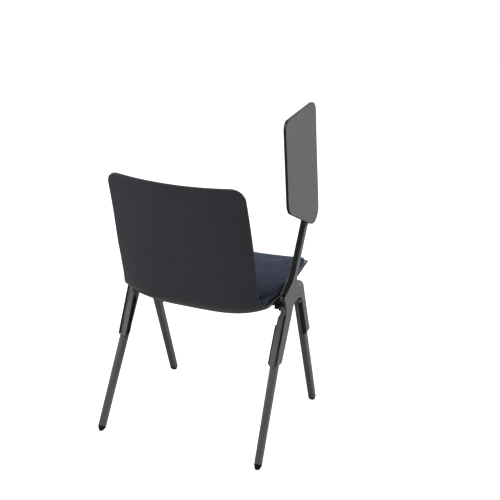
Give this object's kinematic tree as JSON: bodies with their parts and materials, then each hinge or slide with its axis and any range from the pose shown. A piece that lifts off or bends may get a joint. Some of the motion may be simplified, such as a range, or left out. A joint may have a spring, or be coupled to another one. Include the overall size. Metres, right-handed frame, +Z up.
{
  "type": "student desk chair",
  "caption": "Stackable classroom chair with an upholstered dished shell, splayed tapered legs in cast side frames, and a writing tablet that stands upright and swings down over the lap.",
  "frame": {"origin": "on the floor, on the chair's middle plane, under the middle of the seat", "axes": "+X is the sitter's right, +Y is forward, +Z is up"},
  "size_m": [0.5362, 0.4891, 0.9648],
  "materials": {
    "shell_plastic": "fine satin grain, charcoal",
    "upholstery": "dark navy melange weave",
    "black_rubber": "matt black",
    "dark_steel": "black oxide",
    "powder_coat": "anthracite powder coat",
    "leg_coat": "anthracite powder coat",
    "glide_plastic": "moulded, black",
    "bar_coat": "black powder coat",
    "tablet_laminate": "matt grey compact laminate with a black edge",
    "insert_brass": "plain",
    "pin_steel": "ground",
    "bush_plastic": "natural"
  },
  "bodies": {
    "chair": {"seat_shell": "shell_plastic", "seat_pad": "upholstery", "back_pad": "upholstery", "shell_bosses": "shell_plastic", "shell_spacers": "black_rubber", "shell_screws": "dark_steel", "right_side_frame": "powder_coat", "left_side_frame": "powder_coat", "front_leg_right": "leg_coat", "rear_leg_right": "leg_coat", "front_leg_left": "leg_coat", "rear_leg_left": "leg_coat", "leg_liners": "black_rubber", "arm_strip": "glide_plastic", "leg_screws": "dark_steel", "front_glides": "glide_plastic", "rear_glides": "glide_plastic", "front_cross_bar": "bar_coat", "rear_cross_bar": "bar_coat", "cross_bar_screws": "dark_steel", "stacking_buffers": "black_rubber", "stacking_strips": "black_rubber", "link_plugs": "glide_plastic", "hinge_bushes": "bush_plastic", "stow_bumper": "black_rubber", "rest_bumper": "black_rubber"},
    "tablet": {"tablet_top": "tablet_laminate", "tablet_bracket": "bar_coat", "tablet_screws": "dark_steel", "tablet_inserts": "insert_brass", "hinge_pin": "pin_steel", "friction_washers": "pin_steel", "retaining_ring": "dark_steel"}
  },
  "joints": [
    {"name": "tablet_hinge", "type": "hinge", "parent": "chair", "child": "tablet", "pos_m": [0.247, 0.12, 0.684], "axis": [0, -1, 0], "range_deg": [0, 87]}
  ]
}
